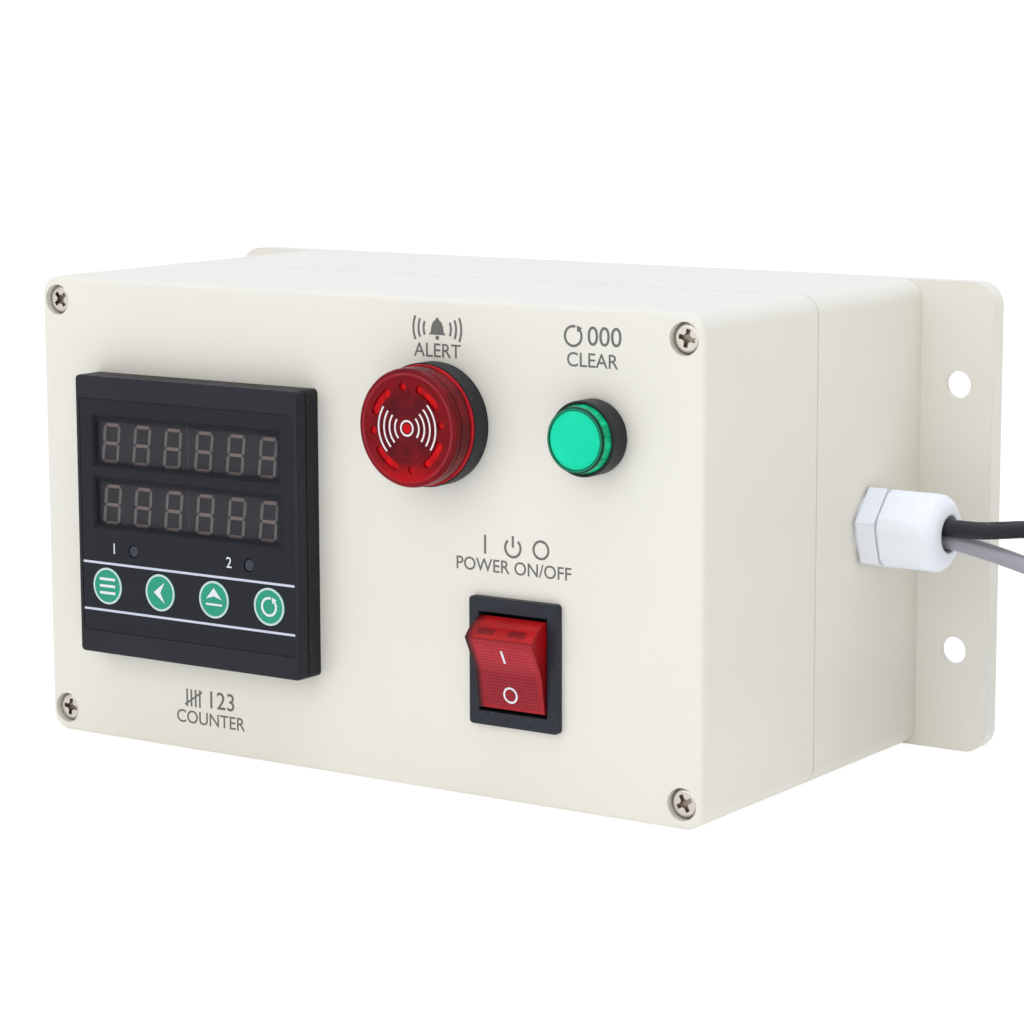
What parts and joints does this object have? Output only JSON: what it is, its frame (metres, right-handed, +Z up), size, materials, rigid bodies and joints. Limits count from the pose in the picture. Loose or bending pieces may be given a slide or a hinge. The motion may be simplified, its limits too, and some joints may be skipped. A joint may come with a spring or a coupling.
{
  "type": "panel counter",
  "caption": "Wall box with a deep screwed lid that carries a digital counter, a buzzer with a red lens, a reset button and a rocker switch, with a gland and cords at the side.",
  "frame": {"origin": "centre of the back plane, in line with the middle of the four wall holes", "axes": "+X to the right, towards the gland; +Y to the wall; +Z up. The face looks along -Y."},
  "size_m": [0.386, 0.1261, 0.1205],
  "materials": {
    "ivory_plastic": "fine satin moulding",
    "seal_rubber": "matt",
    "screw_steel": "nickel plated",
    "brass": "bright",
    "black_plastic": "fine texture",
    "device_black": "satin",
    "overlay_film": "satin film",
    "smoked_pane": "polished",
    "display_grey": "matt",
    "segment_grey": "diffusing",
    "lamp_clear": "diffusing",
    "key_green": "satin film",
    "switch_grey": "matt",
    "board_green": "solder mask",
    "core_steel": "varnished",
    "capacitor_blue": "sleeved",
    "relay_blue": "moulded",
    "lens_red": "translucent",
    "sounder_brass": "dull",
    "cap_green": "satin",
    "stem_white": "moulded",
    "spring_steel": "drawn",
    "contact_grey": "moulded",
    "rocker_red": "finely grained",
    "blade_tin": "tinned",
    "gland_white": "satin nylon",
    "power_cord_black": "satin sheath",
    "signal_cord_grey": "satin sheath",
    "connector_metal": "nickel plated",
    "tie_black": "nylon"
  },
  "bodies": {
    "box": {"enclosure_base": "ivory_plastic", "enclosure_lid": "ivory_plastic", "lid_seal": "seal_rubber", "lid_screws": "screw_steel", "screw_inserts": "brass", "counter_bezel": "black_plastic", "counter_case": "black_plastic", "counter_overlay": "overlay_film", "display_panes": "smoked_pane", "upper_display_left": "display_grey", "upper_display_right": "display_grey", "lower_display_left": "display_grey", "lower_display_right": "display_grey", "display_segments": "segment_grey", "alarm_lamps": "lamp_clear", "key_switches": "switch_grey", "display_board": "board_green", "main_board": "board_green", "transformer": "core_steel", "capacitor": "capacitor_blue", "alarm_relays": "relay_blue", "rear_cover": "black_plastic", "terminal_blocks": "device_black", "terminal_screws": "screw_steel", "panel_clamps": "device_black", "clamp_screws": "screw_steel", "buzzer_lens": "lens_red", "buzzer_body": "device_black", "buzzer_seal": "seal_rubber", "buzzer_sounder": "sounder_brass", "buzzer_lamp_board": "board_green", "buzzer_nut": "device_black", "buzzer_terminals": "brass", "reset_spring": "spring_steel", "reset_body": "device_black", "reset_seal": "seal_rubber", "reset_nut": "device_black", "reset_contact_block": "contact_grey", "reset_terminals": "brass", "switch_housing": "device_black", "switch_terminals": "blade_tin", "gland_body": "gland_white", "gland_cap": "gland_white", "gland_washer": "seal_rubber", "gland_seal": "seal_rubber", "gland_nut": "gland_white", "power_cord": "power_cord_black", "power_coil": "power_cord_black", "power_plug": "power_cord_black", "signal_cord": "signal_cord_grey", "signal_coil": "signal_cord_grey", "signal_connector": "connector_metal", "coil_tie": "tie_black"},
    "rocker": {"switch_rocker": "rocker_red"},
    "reset_button": {"reset_cap": "cap_green", "reset_stem": "stem_white"},
    "menu_key": {"key_menu": "key_green"},
    "left_key": {"key_left": "key_green"},
    "up_key": {"key_up": "key_green"},
    "zero_key": {"key_zero": "key_green"}
  },
  "joints": [
    {"name": "rocker_tilt", "type": "hinge", "parent": "box", "child": "rocker", "pos_m": [0.0491, -0.1125, -0.026], "axis": [-1, 0, 0], "range_deg": [0, 36]},
    {"name": "reset_press", "type": "slide", "parent": "box", "child": "reset_button", "axis": [0, 1, 0], "range_m": [0, 0.0025], "stiffness_N_per_m": 600, "springref_m": -0.004, "deforming": ["reset_spring"]},
    {"name": "menu_key_press", "type": "slide", "parent": "box", "child": "menu_key", "axis": [0, 1, 0], "range_m": [0, 0.0004], "stiffness_N_per_m": 4000},
    {"name": "left_key_press", "type": "slide", "parent": "box", "child": "left_key", "axis": [0, 1, 0], "range_m": [0, 0.0004], "stiffness_N_per_m": 4000},
    {"name": "up_key_press", "type": "slide", "parent": "box", "child": "up_key", "axis": [0, 1, 0], "range_m": [0, 0.0004], "stiffness_N_per_m": 4000},
    {"name": "zero_key_press", "type": "slide", "parent": "box", "child": "zero_key", "axis": [0, 1, 0], "range_m": [0, 0.0004], "stiffness_N_per_m": 4000}
  ]
}
